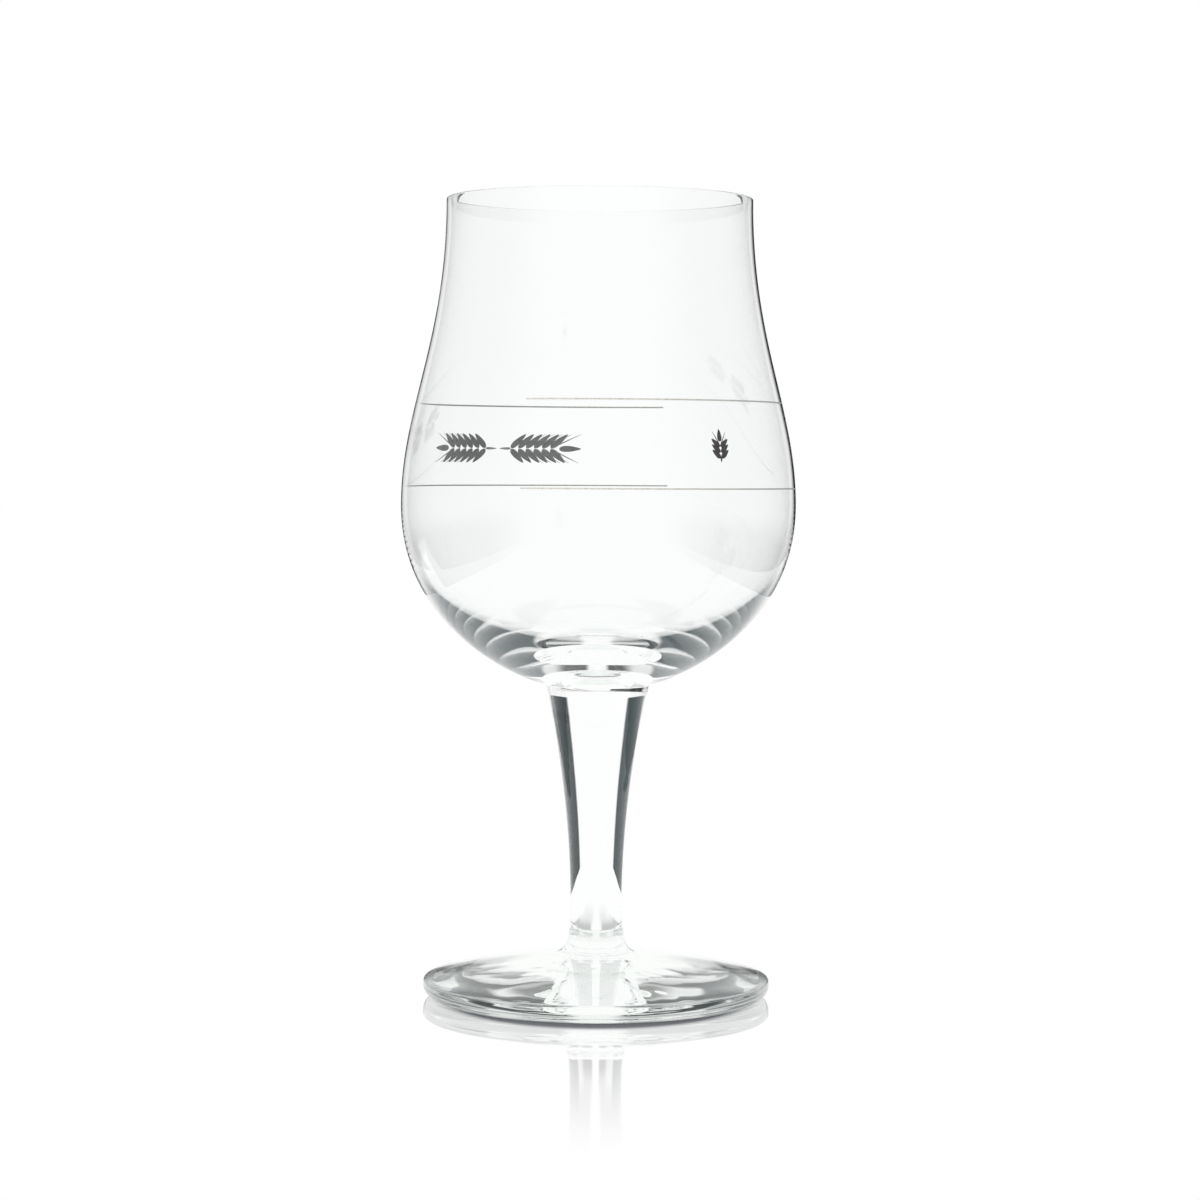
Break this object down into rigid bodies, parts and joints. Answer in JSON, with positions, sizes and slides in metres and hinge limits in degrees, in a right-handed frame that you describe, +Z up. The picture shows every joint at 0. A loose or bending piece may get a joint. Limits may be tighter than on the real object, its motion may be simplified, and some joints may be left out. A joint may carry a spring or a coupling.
{
  "type": "tulip beer glass",
  "caption": "Stemmed tulip beer glass: thin waisted bowl flaring to a round belly, tapered solid stem, domed foot and thin enamel lines round the belly.",
  "frame": {"origin": "centre of the foot's bearing ring, on the table plane", "axes": "+Z up along the axis of the glass, -Y towards the viewer of the front print, +X to that viewer's right"},
  "size_m": [0.084, 0.084, 0.17],
  "materials": {
    "clear_glass": "fire-polished clear soda-lime glass",
    "line_enamel": "fired screen-printed enamel, slate grey paling to tan"
  },
  "bodies": {
    "root": {"bowl": "clear_glass", "stem": "clear_glass", "foot": "clear_glass", "front_upper_line": "line_enamel", "front_lower_line": "line_enamel", "back_upper_line": "line_enamel", "back_lower_line": "line_enamel"}
  },
  "joints": []
}
